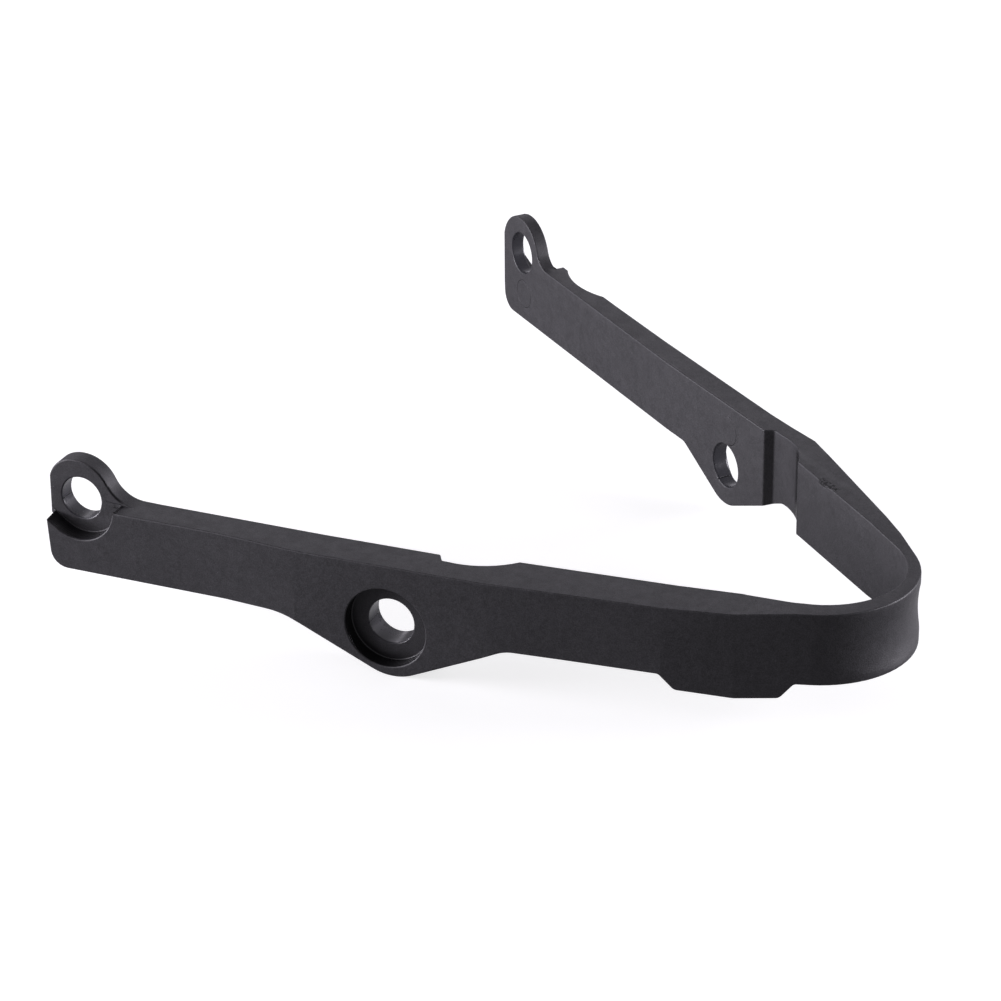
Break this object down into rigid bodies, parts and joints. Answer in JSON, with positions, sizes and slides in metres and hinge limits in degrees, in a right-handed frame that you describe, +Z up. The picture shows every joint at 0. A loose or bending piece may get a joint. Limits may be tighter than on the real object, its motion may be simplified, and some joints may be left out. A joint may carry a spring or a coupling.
{
  "type": "chain slider",
  "caption": "Moulded chain guard strip that wraps the front of a swingarm: arms of different length run back from a rounded bend, with ears and lobes for screws.",
  "frame": {"origin": "centre of the screw seat (the counterbore's floor) in the near arm's lobe", "axes": "+X along the near arm towards the bend, +Y inwards from the near arm to the far arm, +Z up, the way the ears stand"},
  "size_m": [0.2182, 0.1988, 0.0423],
  "materials": {
    "black_plastic": "fine-grained, satin in the bores"
  },
  "bodies": {
    "root": {"chain_slider": "black_plastic"}
  },
  "joints": []
}
